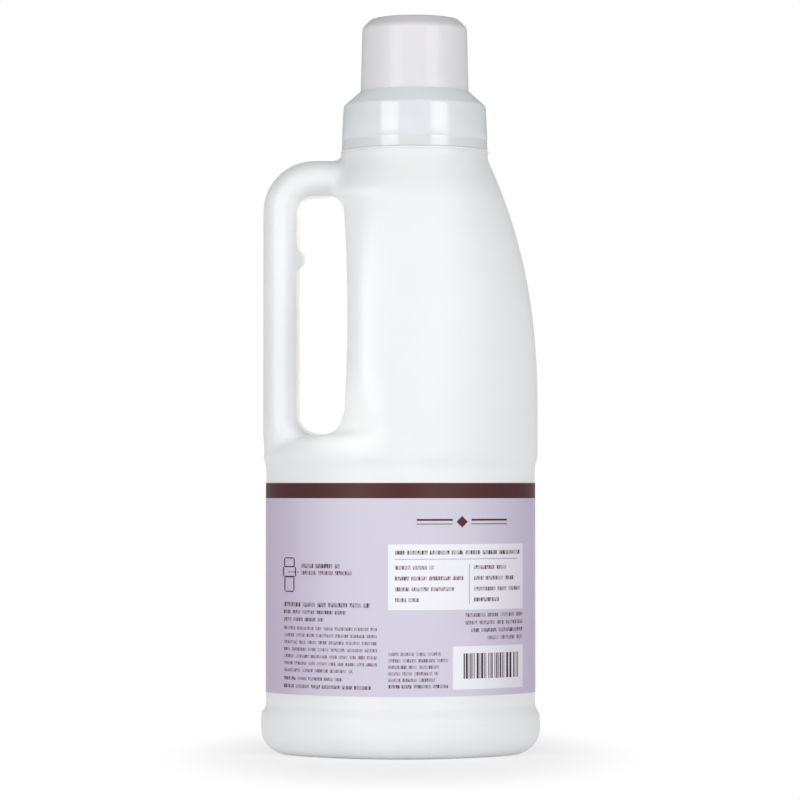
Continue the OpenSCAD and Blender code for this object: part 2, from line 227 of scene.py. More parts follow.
def grip_edge(z):
    """The grip's inner edge, which widens into the ledge at its foot."""
    if z < EYE_Z:
        return EYE_LEFT + EYE_FOOT_R
    if z < EYE_Z + EYE_FOOT_R:
        return EYE_LEFT + EYE_FOOT_R - arc(EYE_FOOT_R, EYE_Z + EYE_FOOT_R - z)
    return EYE_LEFT


def grip_stations():
    """Along the handle: x, z, tilt and half thickness."""
    def foot(z, tuck=0):
        edge = grip_edge(z)
        return (edge - HALF_W + tuck) / 2, z, 0, (edge + HALF_W - tuck) / 2

    bend_z = ARM_TOP - ARM_H / 2 - GRIP_BEND_R
    mid_x = GRIP_W / 2 - HALF_W
    out = [foot(BODY_Z, GRIP_TUCK)]
    out += [foot(EYE_Z + EYE_FOOT_R * (1 - math.cos(a * math.pi / 16))) for a in range(9)]
    out += [(mid_x, z, 0, GRIP_W / 2) for z in heights(EYE_Z + EYE_FOOT_R, bend_z, 30)[1:-1]]
    for k in range(13):
        a = math.pi / 2 * k / 12
        half = blend(GRIP_W, ARM_H, k / 12) / 2
        out.append((mid_x + GRIP_BEND_R * (1 - math.cos(a)), bend_z + GRIP_BEND_R * math.sin(a), a, half))
    arm_end = NECK_X - COLLAR_R / 2
    out += [(x, ARM_TOP - ARM_H / 2, math.pi / 2, ARM_H / 2) for x in heights(out[-1][0], arm_end, 8)[1:]]
    return out


def grip_oval(station, columns):
    x, z, tilt, half = station
    ring = []
    for i in range(columns):
        a = math.tau * i / columns
        u = half * math.cos(a)
        ring.append((x + u * math.cos(tilt), GRIP_D / 2 * math.sin(a), z - u * math.sin(tilt)))
    return ring


def deselect():
    if bpy.context.object and bpy.context.object.mode != "OBJECT":
        bpy.ops.object.mode_set(mode="OBJECT")
    bpy.ops.object.select_all(action="DESELECT")


def activate(obj):
    deselect()
    obj.select_set(True)
    bpy.context.view_layer.objects.active = obj


def settle(obj):
    """Puts a finished piece's place into its mesh."""
    activate(obj)
    bpy.ops.object.transform_apply(location=True, rotation=True, scale=True)


def join(objects, name):
    activate(objects[0])
    for obj in objects[1:]:
        obj.select_set(True)
    bpy.ops.object.join()
    whole = bpy.context.object
    whole.name = whole.data.name = name
    return whole


def apply_modifier(obj, kind, **settings):
    activate(obj)
    modifier = obj.modifiers.new(kind.title(), kind)
    for key, value in settings.items():
        setattr(modifier, key, value)
    bpy.ops.object.modifier_apply(modifier=modifier.name)


def smooth_shading(obj, angle=None):
    activate(obj)
    if angle is None:
        bpy.ops.object.shade_smooth()
    else:
        bpy.ops.object.shade_smooth_by_angle(angle=math.radians(angle))


def shaped_globe(name, rings):
    """A globe whose rings are moved to the given outlines, lowest first, and whose poles close the ends."""
    deselect()
    columns = len(rings[0])
    rows = len(rings) + 1
    bpy.ops.mesh.primitive_uv_sphere_add(segments=columns, ring_count=rows, radius=1)
    globe = bpy.context.object
    globe.name = globe.data.name = name
    for v in globe.data.vertices:
        step = round(math.acos(max(-1, min(1, v.co.z))) / math.pi * rows)
        row = len(rings) - step
        if 0 <= row < len(rings):
            v.co = rings[row][round(math.atan2(v.co.y, v.co.x) / math.tau * columns) % columns]
        else:
            end = rings[0] if row < 0 else rings[-1]
            v.co = [sum(p[k] for p in end) / columns for k in range(3)]
    return globe


def select_where(obj, test, faces=True):
    """Goes into edit mode and selects the faces, or the edges, that the test picks."""
    activate(obj)
    bpy.ops.object.mode_set(mode="EDIT")
    bpy.ops.mesh.select_mode(type="FACE" if faces else "EDGE")
    bpy.ops.mesh.select_all(action="DESELECT")
    bm = bmesh.from_edit_mesh(obj.data)
    for item in bm.faces if faces else bm.edges:
        item.select_set(test(item))
    bmesh.update_edit_mesh(obj.data)


def cut_at(obj, z, keep_above):
    """Cuts a piece off at height z and leaves its end open."""
    activate(obj)
    bpy.ops.object.mode_set(mode="EDIT")
    bpy.ops.mesh.select_all(action="SELECT")
    bpy.ops.mesh.bisect(plane_co=(0, 0, z), plane_no=(0, 0, 1), clear_inner=keep_above,
                        clear_outer=not keep_above)
    bpy.ops.object.mode_set(mode="OBJECT")


def bridge_open_ends(obj, low, high):
    """Joins the two open ends that lie between heights low and high."""
    select_where(obj, lambda e: e.is_boundary and all(low <= v.co.z <= high for v in e.verts), faces=False)
    bpy.ops.mesh.bridge_edge_loops()
    bpy.ops.object.mode_set(mode="OBJECT")


def turned(name, profile, steps, centre_x=NECK_X):
    """A profile of (radius, height) points turned round an upright axis."""
    deselect()
    bpy.ops.mesh.primitive_plane_add(size=1)
    obj = bpy.context.object
    obj.name = obj.data.name = name
    bpy.ops.object.mode_set(mode="EDIT")
    bm = bmesh.from_edit_mesh(obj.data)
    bm.clear()
    chain = [bm.verts.new((centre_x + r, 0, z)) for r, z in profile]
    for a, b in zip(chain, chain[1:]):
        bm.edges.new((a, b))
    bmesh.update_edit_mesh(obj.data)
    bpy.ops.mesh.select_all(action="SELECT")
    bpy.ops.mesh.spin(steps=steps, angle=math.tau, center=(centre_x, 0, 0), axis=(0, 0, 1))
    bpy.ops.mesh.select_all(action="SELECT")
    bpy.ops.mesh.remove_doubles(threshold=0.002 * MM)
    bpy.ops.mesh.select_all(action="SELECT")
    bpy.ops.mesh.normals_make_consistent(inside=False)
    bpy.ops.object.mode_set(mode="OBJECT")
    return obj


def rounded(points, radius, steps=4):
    """A chain of (r, z) points whose inner corners are rounded."""
    out = [points[0]]
    for before, corner, after in zip(points, points[1:], points[2:]):
        to_a = [before[k] - corner[k] for k in (0, 1)]
        to_b = [after[k] - corner[k] for k in (0, 1)]
        la, lb = math.hypot(*to_a), math.hypot(*to_b)
        cut = min(radius, la * 0.45, lb * 0.45)
        start = [corner[k] + to_a[k] / la * cut for k in (0, 1)]
        end = [corner[k] + to_b[k] / lb * cut for k in (0, 1)]
        for s in range(steps + 1):
            t = s / steps
            out.append(tuple(
                (1 - t) ** 2 * start[k] + 2 * t * (1 - t) * corner[k] + t * t * end[k] for k in (0, 1)))
    out.append(points[-1])
    return out


def make_bottle():
    """The blown shell: a body and a handle grown together, on a crisp lower part, with a turned neck."""
    levels = heights(JOIN_Z - 8 * MM, PANEL_TOP, 30) + heights(PANEL_TOP, COLLAR_Z, 150)[1:]
    levels.append(BEAD_Z + 2 * MM)
    body = shaped_globe("bottle_shell", [oval(z, 0, z, BODY_COLUMNS) for z in levels])
    handle = shaped_globe("handle", [grip_oval(s, GRIP_COLUMNS) for s in grip_stations()])
    deselect()
    bpy.ops.mesh.primitive_uv_sphere_add(segments=32, ring_count=24, radius=STOP_H / 2,
                                         location=(EYE_LEFT, 0, STOP_Z))
    stop = bpy.context.object
    bpy.ops.object.mode_set(mode="EDIT")
    bpy.ops.transform.resize(value=(1.5 * STOP_OUT / STOP_H, 0.7, 0.85))
    settle(stop)
    upper = join([body, handle, stop], "bottle_shell")
    apply_modifier(upper, "REMESH", mode="VOXEL", voxel_size=VOXEL, use_smooth_shade=True)
    cut_at(upper, JOIN_Z + 2 * MM, True)
    cut_at(upper, BEAD_Z - 0.3 * MM, False)
    blended = upper.vertex_groups.new(name="blended")
    for v in upper.data.vertices:
        blended.add([v.index], blending(*v.co), "REPLACE")
    apply_modifier(upper, "SMOOTH", factor=0.5, iterations=6, vertex_group="blended")

    low_rings = [
        oval(FOOT_R, FOOT_R + FOOT_W + FOOT_SLOPE * t, FOOT_RISE * ease(share(0, 1, t)), BODY_COLUMNS)
        for t in (4, 2, 1, 0.8, 0.6, 0.4, 0.2, 0)]
    low_levels = [FOOT_R * (1 - math.cos(a * math.pi / 32)) for a in range(16)]
    low_levels += heights(FOOT_R, BASE_H, 16) + [JOIN_Z]
    low_rings += [oval(z, 0, z, BODY_COLUMNS) for z in low_levels]
    lower = shaped_globe("bottle_base", low_rings)
    cut_at(lower, JOIN_Z - 0.01 * MM, False)

    neck_profile = rounded([
        (COLLAR_R, BEAD_Z - 0.15 * MM), (COLLAR_R, BEAD_Z + 0.05 * MM),
        (COLLAR_R + BEAD_OUT, BEAD_Z + 0.15 * MM), (COLLAR_R + BEAD_OUT, BEAD_TOP),
        (NECK_R, BEAD_TOP), (NECK_R, RIM_Z)], 0.25 * MM)
    neck = turned("bottle_neck", neck_profile, NECK_STEPS)

    shell = join([upper, lower, neck], "bottle_shell")
    bridge_open_ends(shell, JOIN_Z - 1 * MM, JOIN_Z + 3 * MM)
    bridge_open_ends(shell, BEAD_Z - 0.5 * MM, BEAD_Z - 0.1 * MM)
    activate(shell)
    bpy.ops.object.mode_set(mode="EDIT")
    bpy.ops.mesh.select_all(action="SELECT")
    bpy.ops.mesh.normals_make_consistent(inside=False)
    bpy.ops.object.mode_set(mode="OBJECT")
    apply_modifier(shell, "SOLIDIFY", thickness=WALL, offset=-1)
    smooth_shading(shell, 40)
    return shell


def blending(x, y, z):
    """How strongly the blown skin is smoothed at a place: most where the handle grows out of the body."""
    foot = 1 - share(EYE_Z + 2 * MM, EYE_Z + 10 * MM, z)
    arm = share(EYE_TOP + 1 * MM, EYE_TOP + 6 * MM, z)
    junction = max(foot, arm) * (1 - share(-14 * MM, -4 * MM, x))
    beside_web = 1 - share(7 * MM, 14 * MM, abs(y))
    held = share(PANEL_TOP - 2 * MM, PANEL_TOP, z) * (1 - share(COLLAR_Z - 2 * MM, COLLAR_Z, z))
    return (0.3 + 0.7 * junction * (1 - 0.8 * beside_web)) * held


def eye_loop(grow):
    """The outline of the handle hole in the x and z plane, grown by grow."""
    corners = [
        (EYE_LEFT + EYE_FOOT_R, EYE_Z + EYE_FOOT_R, EYE_FOOT_R, 180),
        (EYE_RIGHT - EYE_LOW_R, EYE_Z + EYE_LOW_R, EYE_LOW_R, 270),
        (EYE_RIGHT - EYE_TOP_R, EYE_TOP - EYE_TOP_R, EYE_TOP_R, 0),
        (EYE_LEFT + EYE_INNER_R, EYE_TOP - EYE_INNER_R, EYE_INNER_R, 90)]
    loop = []
    for i, (cx, cz, r, start) in enumerate(corners):
        for k in range(WEB_ARC_STEPS + 1):
            a = math.radians(start + 90 * k / WEB_ARC_STEPS)
            loop.append((cx + (r + grow) * math.cos(a), cz + (r + grow) * math.sin(a)))
        a = math.radians(start + 90)
        next_x, next_z, next_r = corners[(i + 1) % len(corners)][:3]
        end = (next_x + (next_r + grow) * math.cos(a), next_z + (next_r + grow) * math.sin(a))
        loop += [tuple(blend(p, q, k / WEB_SIDE_STEPS) for p, q in zip(loop[-1], end))
                 for k in range(1, WEB_SIDE_STEPS)]
    return [(x + (hollow(z) if x > (EYE_LEFT + EYE_RIGHT) / 2 else 0), z) for x, z in loop]


def make_flash():
    """The thin web that the mould leaves along the parting line, and the nub left at the base."""
    def web(x, z):
        if x < EYE_LEFT + 1 * MM and abs(z - STOP_Z) < STOP_H / 2:
            return blend(WEB_W, STOP_OUT, ease(share(1, 0.2, abs(z - STOP_Z) / STOP_H * 2)))
        return WEB_W * (1 - 0.8 * share((EYE_LEFT + EYE_RIGHT) / 2, EYE_RIGHT, x))

    count = len(eye_loop(0))
    root, rim = eye_loop(WEB_ROOT), eye_loop(0)
    rings = []
    for y, reach in ((-1, 0), (-1, 0.8), (-0.6, 1), (0.6, 1), (1, 0.8), (1, 0)):
        ring = root if reach == 0 else [
            place_inside(rim, i, reach * web(*rim[i])) for i in range(count)]
        rings.append([(x, y * WEB_T / 2, z) for x, z in ring])
    deselect()
    bpy.ops.mesh.primitive_plane_add(size=1)
    flash = bpy.context.object
    bpy.ops.object.mode_set(mode="EDIT")
    bm = bmesh.from_edit_mesh(flash.data)
    bm.clear()
    grid = [[bm.verts.new(p) for p in ring] for ring in rings]
    for a, b in zip(grid, grid[1:] + grid[:1]):
        for i in range(count):
            j = (i + 1) % count
            bm.faces.new((a[i], a[j], b[j], b[i]))
    bmesh.update_edit_mesh(flash.data)
    bpy.ops.mesh.select_all(action="SELECT")
    bpy.ops.mesh.normals_make_consistent(inside=False)
    bpy.ops.object.mode_set(mode="OBJECT")
    deselect()
    bpy.ops.mesh.primitive_cone_add(vertices=24, radius1=NUB_R, radius2=0.2 * MM, depth=NUB_H,
                                    location=(-HALF_W - 0.6 * MM, 0, NUB_Z), rotation=(0, -math.pi / 2, 0))
    nub = bpy.context.object
    settle(nub)
    apply_modifier(nub, "BEVEL", width=0.15 * MM, segments=3)
    flash = join([flash, nub], "parting_web")
    smooth_shading(flash, 40)
    return flash


def place_inside(loop, i, distance):
    """The point of a loop moved towards the loop's inside."""
    (x0, z0), (x1, z1) = loop[i - 1], loop[(i + 1) % len(loop)]
    length = math.hypot(x1 - x0, z1 - z0)
    return loop[i][0] - (z1 - z0) / length * distance, loop[i][1] + (x1 - x0) / length * distance


# Cap. Its skirt reaches further down than the solid's, so that it closes on the bead.
SKIRT_Z = BEAD_TOP + 0.04 * MM
SKIRT_GAP = 0.4 * MM
SKIRT_H = 15.8 * MM
CONE_Z = BEAD_TOP + SKIRT_GAP + SKIRT_H
TUBE_Z = CONE_Z + 5.9 * MM
CAP_TOP = TUBE_Z + 27 * MM
TUBE_DROP = 14.3 * MM
TUBE_END = BEAD_TOP + SKIRT_GAP - TUBE_DROP
TUBE_TOP_R = 19.4 * MM
TUBE_R = 20 * MM
TUBE_EDGE = 3.4 * MM
SKIRT_TOP_R = 26.4 * MM
SKIRT_R = 27.1 * MM
CAP_WALL = 1.1 * MM
CUP_R = TUBE_R - CAP_WALL
# Fine step round the skirt
LINE_Z = BEAD_TOP + 4 * MM
LINE_STEP = 0.1 * MM
# Rib that presses on the seal
FLANGE_T = 1.2 * MM
SEAL_T = 1.1 * MM
SEAL_GAP = 0.1 * MM
RIB_Z = RIM_Z + FLANGE_T + SEAL_T + 2 * SEAL_GAP
RIB_R = 23.25 * MM
RIB_T = 1.5 * MM
# Thread
PITCH = 6 * MM
THREAD_TURNS = 1.25
RIDGE_ROOT = 2.2 * MM
RIDGE_CREST = 1 * MM
RIDGE_OUT = 0.9 * MM
RIDGE_SINK = 0.33 * MM
RIDGE_START = 0.3
THREAD_Z = TUBE_END + 1.8 * MM


def make_cap():
    """The one-piece measuring cap: tube, shoulder, skirt, seal rib and thread."""
    under_z, under_tube = CONE_Z - CAP_WALL, TUBE_Z - CAP_WALL
    slope = (under_tube - under_z) / (SKIRT_TOP_R - CAP_WALL - TUBE_R)

    def under(r):
        return under_tube - slope * (r - TUBE_R)

    line_r = blend(SKIRT_R, SKIRT_TOP_R, share(SKIRT_Z, CONE_Z, LINE_Z))
    outside = rounded([
        (0, CAP_TOP), (TUBE_TOP_R - TUBE_EDGE, CAP_TOP), (TUBE_TOP_R, CAP_TOP - TUBE_EDGE),
        (TUBE_R, TUBE_Z)], 1.3 * MM, 6)[:-1]
    outside += rounded([
        (TUBE_R, TUBE_Z + 0.6 * MM), (TUBE_R + 0.1 * MM, TUBE_Z), (SKIRT_TOP_R - 0.2 * MM, CONE_Z + 0.5 * MM),
        (SKIRT_TOP_R, CONE_Z - 0.6 * MM), (line_r, LINE_Z + 0.25 * MM)], 0.9 * MM, 5)[:-1]
    outside += rounded([
        (line_r, LINE_Z + 0.25 * MM), (line_r - LINE_STEP, LINE_Z), (SKIRT_R - LINE_STEP, SKIRT_Z),
        (SKIRT_R - CAP_WALL, SKIRT_Z)], 0.45 * MM, 5)[:-1]
    inside = rounded([
        (SKIRT_R - CAP_WALL, SKIRT_Z), (SKIRT_TOP_R - CAP_WALL, under_z),
        (RIB_R + RIB_T / 2, under(RIB_R + RIB_T / 2)), (RIB_R + RIB_T / 2, RIB_Z),
        (RIB_R - RIB_T / 2, RIB_Z), (RIB_R - RIB_T / 2, under(RIB_R - RIB_T / 2)),
        (TUBE_R, under_tube), (TUBE_R, TUBE_END), (CUP_R, TUBE_END), (CUP_R, TUBE_Z),
        (TUBE_TOP_R - CAP_WALL, CAP_TOP - TUBE_EDGE),
        (TUBE_TOP_R - TUBE_EDGE - CAP_WALL / 2, CAP_TOP - CAP_WALL), (0, CAP_TOP - CAP_WALL)], 0.3 * MM, 3)
    cap = turned("dosing_cap", outside + inside, CAP_STEPS)
    thread = ridge("cap_thread", TUBE_R - RIDGE_SINK, TUBE_R + RIDGE_OUT, THREAD_Z)
    cap = join([cap, thread], "dosing_cap")
    smooth_shading(cap, 35)
    return cap


def ridge(name, root_r, crest_r, start_z):
    """A ridge that climbs one pitch a turn and runs out at both ends."""
    lead_in = 8
    deselect()
    bpy.ops.mesh.primitive_plane_add(size=1)
    obj = bpy.context.object
    obj.name = obj.data.name = name
    bpy.ops.object.mode_set(mode="EDIT")
    bm = bmesh.from_edit_mesh(obj.data)
    bm.clear()
    rows = []
    for k in range(RIDGE_STEPS + 1):
        a = math.tau * THREAD_TURNS * k / RIDGE_STEPS
        full = min(1, blend(RIDGE_START, 1, min(k, RIDGE_STEPS - k) / lead_in))
        r = blend(root_r, crest_r, full)
        z = start_z + PITCH * a / math.tau
        section = [(root_r, -RIDGE_ROOT / 2), (r, -RIDGE_CREST / 2),
                   (r, RIDGE_CREST / 2), (root_r, RIDGE_ROOT / 2)]
        rows.append([bm.verts.new((NECK_X + q * math.cos(a), q * math.sin(a), z + h)) for q, h in section])
    for a, b in zip(rows, rows[1:]):
        for j in range(4):
            bm.faces.new((a[j], a[(j + 1) % 4], b[(j + 1) % 4], b[j]))
    bm.faces.new(rows[0])
    bm.faces.new(rows[-1])
    bmesh.update_edit_mesh(obj.data)
    bpy.ops.mesh.select_all(action="SELECT")
    bpy.ops.mesh.normals_make_consistent(inside=False)
    bpy.ops.object.mode_set(mode="OBJECT")
    return obj


# The label's print, as fields of colour. Each field is (low x, high x, low z, high z, ink), in millimetres
# in the bottle's frame, on the label's back. Every place in the functions up to code_bars is in millimetres.
INKS = {
    "lilac": (0.655, 0.625, 0.74),
    "brown": (0.085, 0.028, 0.03),
    "white": (0.87, 0.87, 0.93),
    # A painted highlight along the label's top edge, kept with the inks
    "painted_edge_highlight": (0.93, 0.9, 0.82),
    "line": (0.06, 0.025, 0.04),
    "pale_line": (0.4, 0.34, 0.4),
    "dark_row": (0.07, 0.025, 0.035),
    "soft_row": (0.13, 0.07, 0.1),
    "pale_row": (0.2, 0.13, 0.18),
}
WHITE_PANEL = (-4.55, 44.75, 54.2, 77.9)
CODE_PATCH = (18.9, 44.8, 25.4, 41.0)
CODE_BARS = (22.8, 43.2, 29.2, 38.4)
RULE = 0.25
# Left edges of the rows: left of the white panel, under it, and beside its upright rule
MARGIN_X = -42.7
LIST_X = -4.5
COLUMN_X = 26.6
# Heights and pitches of the rows: in the panel, and in the blocks of print round it
PANEL_ROW_Z, PANEL_PITCH = 69.5, 3.9
TITLE_ROW_Z, TITLE_PITCH = 55.8, 2.7
NOTE_ROW_Z, NOTE_PITCH, NOTE_ROWS = 47.2, 2.55, 7
LIST_ROW_Z, LIST_PITCH = 38.3, 2.33
SIDE_ROW_Z, SIDE_PITCH = 52.2, 2.75


def words(x0, x1, z, height, ink, seed):
    """A row of plain blocks that stands for a line of print."""
    rng = random.Random(seed)
    out = []
    x = x0
    gap = 0.55 * height
    while x < x1 - gap:
        end = min(x1, x + rng.uniform(1.8, 5.6) * height)
        if x1 - end < 1.6 * height:
            end = x1
        out.append((x, end, z - height / 2, z + height / 2, ink))
        x = end + gap
    return out


def outline(x0, x1, z0, z1, line):
    """A thin frame with its corners taken off."""
    sides = [(x0, x1, z0, z0 + line), (x0, x1, z1 - line, z1),
             (x0, x0 + line, z0, z1), (x1 - line, x1, z0, z1)]
    corners = [(x, x + line, z, z + line) for x in (x0, x1 - line) for z in (z0, z1 - line)]
    return [(*side, "line") for side in sides] + [(*corner, "lilac") for corner in corners]


def print_fields():
    """Everything printed on the label's back."""
    fields = [(*WHITE_PANEL, "white"), (*CODE_PATCH, "white")]
    x0, x1, z0, z1 = WHITE_PANEL
    fields.append((x0 + 2.5, x1 - 2.1, 72.4, 72.4 + RULE, "pale_line"))
    fields.append((24.8, 24.8 + RULE, z0 + 2, 70.7, "pale_line"))
    fields += words(x0 + 2.5, x1 - 1.2, 74.9, 1.5, "dark_row", 1)
    for k, (left, right) in enumerate([(12.0, 38.5), (22.8, 41.2), (19.4, 43.6), (6.6, 35.8)]):
        z = PANEL_ROW_Z - PANEL_PITCH * k
        fields += words(x0 + 2.5, left, z, 1.45, "soft_row", 10 + k)
        fields += words(COLUMN_X, right, z, 1.45, "soft_row", 20 + k)
    for k, end in enumerate([-11.2, -19.8, -28.0]):
        height, ink = (1.35, "soft_row") if k else (1.6, "dark_row")
        fields += words(MARGIN_X, end, TITLE_ROW_Z - TITLE_PITCH * k, height, ink, 30 + k)
    for k in range(NOTE_ROWS):
        end = -8.5 if k < NOTE_ROWS - 1 else -17.4
        fields += words(MARGIN_X, end, NOTE_ROW_Z - NOTE_PITCH * k, 1.2, "pale_row", 40 + k)
    fields += words(MARGIN_X, -21.4, 28.9, 1.2, "soft_row", 50)
    fields += words(MARGIN_X, -10.8, 26.1, 1.35, "dark_row", 51)
    for k, end in enumerate([14.6, 17.2, 13.9, 13.5, 12.4, 17.1]):
        ink = "pale_row" if k < 5 else "dark_row"
        fields += words(LIST_X, end, LIST_ROW_Z - LIST_PITCH * k, 1.25, ink, 60 + k)
    for k, start in enumerate([23.5, 23.5, 25.6, 31.6]):
        ink = "dark_row" if k == 2 else "pale_row"
        fields += words(start, 44.6, SIDE_ROW_Z - SIDE_PITCH * k, 1.4, ink, 70 + k)
    fields += cap_sign()
    fields += ornament()
    fields += code_bars()
    return fields


def cap_sign():
    """An outline of an upturned cap, with a dashed level at its middle and two rows beside it."""
    line = 0.42
    out = outline(-42.6, -38.6, 69.3, 72.9, line)
    out += outline(-42.5, -38.7, 60.3, 66, line)
    out += outline(-43, -38.1, 65.7, 69.7, line)
    out += [(x, x + 0.65, 67.4, 67.75, "line") for x in (-41, -40, -39.1, -37.8)]
    out += words(-36.3, -22.0, 69.9, 1.6, "dark_row", 80)
    out += words(-36.3, -17.6, 67.4, 1.5, "soft_row", 81)
    return out


def ornament():
    """A plain printer's ornament: two rules with a lozenge between them."""
    middle_x, middle_z = 22.3, 86.0
    out = []
    for sign in (-1, 1):
        near, far = middle_x + sign * 3.4, middle_x + sign * 16.5
        out.append((min(near, far), max(near, far), middle_z + 0.35, middle_z + 1.05, "brown"))
        out.append((min(near, far), max(near, far), middle_z - 0.95, middle_z - 0.65, "brown"))
    steps = 10
    half = 2.1
    for k in range(steps):
        low = middle_z - half + 2 * half * k / steps
        high = low + 2 * half / steps
        reach = half - abs((low + high) / 2 - middle_z)
        out.append((middle_x - reach, middle_x + reach, low, high, "brown"))
    return out


def code_bars():
    """A made-up row of upright bars that codes nothing."""
    rng = random.Random(7)
    x0, x1, z0, z1 = CODE_BARS
    out = []
    x = x0
    while x < x1:
        width = rng.choice((0.28, 0.28, 0.5, 0.75))
        out.append((x, min(x1, x + width), z0, z1, "line"))
        x += width + rng.choice((0.3, 0.3, 0.45, 0.7))
    return out


def cut_field(obj, point, normal, test):
    """Cuts the faces that the test picks along one plane."""
    select_where(obj, test)
    bpy.ops.mesh.bisect(plane_co=point, plane_no=normal, threshold=0.001 * MM)
    bpy.ops.object.mode_set(mode="OBJECT")


def make_label():
    """The printed film: a ring in the panel, cut along the edges of its print."""
    rings = [oval(BASE_H, -LABEL_GAP - LABEL_T, z, LABEL_COLUMNS) for z in heights(LABEL_Z, LABEL_TOP, 4)]
    film = shaped_globe("wrap_film", rings)
    select_where(film, lambda f: len(f.verts) == 3)
    bpy.ops.mesh.delete(type="FACE")
    bpy.ops.mesh.select_all(action="SELECT")
    bpy.ops.mesh.delete_loose()
    bpy.ops.object.mode_set(mode="OBJECT")
    for z in (LABEL_TOP - BAND_H, LABEL_TOP - EDGE_H):
        cut_field(film, (0, 0, z), (0, 0, 1), lambda f: True)
    fields = print_fields()
    activate(film)
    bm = bmesh.new()
    bm.from_mesh(film.data)
    for z in sorted({z for f in fields for z in f[2:4]}):
        back = [g for g in bm.faces if g.calc_center_median().y < 0]
        bisect(bm, back, (0, 0, z * MM), (0, 0, 1))
    for x0, x1, z0, z1, ink in fields:
        for x in (x0, x1):
            row = [g for g in bm.faces if in_field(g, (x - 4, x + 4, z0, z1))]
            bisect(bm, row, (x * MM, 0, 0), (1, 0, 0))
    inks = bm.loops.layers.float_color.new("print")
    grounds = bm.loops.layers.float_color.new("ground")
    for face in bm.faces:
        ink, ground = ink_of(face, fields)
        for loop in face.loops:
            loop[inks] = (*INKS[ink], 1)
            loop[grounds] = (*INKS[ground], 1)
    bm.to_mesh(film.data)
    bm.free()
    apply_modifier(film, "SOLIDIFY", thickness=LABEL_T, offset=-1)
    smooth_shading(film, 40)
    return film


def bisect(bm, faces, point, normal):
    edges = {e for f in faces for e in f.edges}
    verts = {v for f in faces for v in f.verts}
    bmesh.ops.bisect_plane(bm, geom=[*faces, *edges, *verts], dist=0.001 * MM,
                           plane_co=point, plane_no=normal)


def in_field(face, field):
    centre = face.calc_center_median() / MM
    return centre.y < 0 and field[0] < centre.x < field[1] and field[2] < centre.z < field[3]


def ink_of(face, fields):
    """The ink of a face and the ink that shows between its strokes."""
    z = face.calc_center_median().z
    # The top edge gets a painted highlight; the band under it is printed brown
    if z > LABEL_TOP - EDGE_H:
        return "painted_edge_highlight", "painted_edge_highlight"
    if z > LABEL_TOP - BAND_H:
        return "brown", "brown"
    ink = ground = "lilac"
    for field in fields:
        if in_field(face, field):
            ink = field[4]
            ground = ground if ink.endswith("_row") else ink
    return ink, ground


class Finish:
    """A node material with short calls for its nodes."""

    def __init__(self, name, colour, roughness, **sockets):
        self.material = bpy.data.materials.new(name)
        self.material.use_nodes = True
        self.tree = self.material.node_tree
        self.shader = self.tree.nodes["Principled BSDF"]
        self.shader.inputs["Base Color"].default_value = (*colour, 1)
        self.shader.inputs["Roughness"].default_value = roughness
        for key, value in sockets.items():
            self.shader.inputs[key.replace("_", " ")].default_value = value
        self.place = self.add("ShaderNodeTexCoord").outputs["Object"]

    def add(self, kind, **settings):
        node = self.tree.nodes.new(kind)
        for key, value in settings.items():
            setattr(node, key, value)
        return node

    def link(self, source, target):
        self.tree.links.new(source, target)

    def noise(self, scale, detail=2, roughness=0.5):
        node = self.add("ShaderNodeTexNoise")
        node.inputs["Scale"].default_value = scale
        node.inputs["Detail"].default_value = detail
        node.inputs["Roughness"].default_value = roughness
        self.link(self.place, node.inputs["Vector"])
        return node.outputs["Fac"]

    def axis(self, name):
        node = self.add("ShaderNodeSeparateXYZ")
        self.link(self.place, node.inputs["Vector"])
        return node.outputs[name]

    def ramp(self, source, low, high, to_low=0.0, to_high=1.0):
        """Maps low..high of the source to to_low..to_high, smoothly."""
        node = self.add("ShaderNodeMapRange", interpolation_type="SMOOTHSTEP")
        node.inputs["From Min"].default_value = low
        node.inputs["From Max"].default_value = high
        node.inputs["To Min"].default_value = to_low
        node.inputs["To Max"].default_value = to_high
        self.link(source, node.inputs["Value"])
        return node.outputs["Result"]

    def times(self, a, b):
        node = self.add("ShaderNodeMath", operation="MULTIPLY")
        for socket, value in zip(node.inputs, (a, b)):
            if isinstance(value, (int, float)):
                socket.default_value = value
            else:
                self.link(value, socket)
        return node.outputs["Value"]

    def mix(self, share_of, a, b):
        """Colour a where the share is 0 and colour b where it is 1."""
        node = self.add("ShaderNodeMix", data_type="RGBA")
        self.link(share_of, node.inputs["Factor"])
        for socket, value in ((node.inputs[6], a), (node.inputs[7], b)):
            if isinstance(value, tuple):
                socket.default_value = (*value, 1)
            else:
                self.link(value, socket)
        return node.outputs[2]

    def colour(self, source):
        self.link(source, self.shader.inputs["Base Color"])

    def bump(self, height, distance, strength=1.0):
        node = self.add("ShaderNodeBump")
        node.inputs["Strength"].default_value = strength
        node.inputs["Distance"].default_value = distance
        self.link(height, node.inputs["Height"])
        self.link(node.outputs["Normal"], self.shader.inputs["Normal"])


def thin_web():
    """The same plastic where it is thin, with a painted glow that stands in for the light let through it."""
    # Painted glow: a faint warm emission on the web
    finish = Finish("thin_polyethylene_painted_glow", (0.96, 0.955, 0.9), 0.3, Specular_IOR_Level=0.42,
                    Emission_Color=(1, 0.985, 0.93, 1), Emission_Strength=0.12)
    cloud = finish.ramp(finish.noise(90, 2), 0.3, 0.7)
    finish.colour(finish.mix(cloud, (0.96, 0.955, 0.9), (0.98, 0.97, 0.94)))
    return finish.material


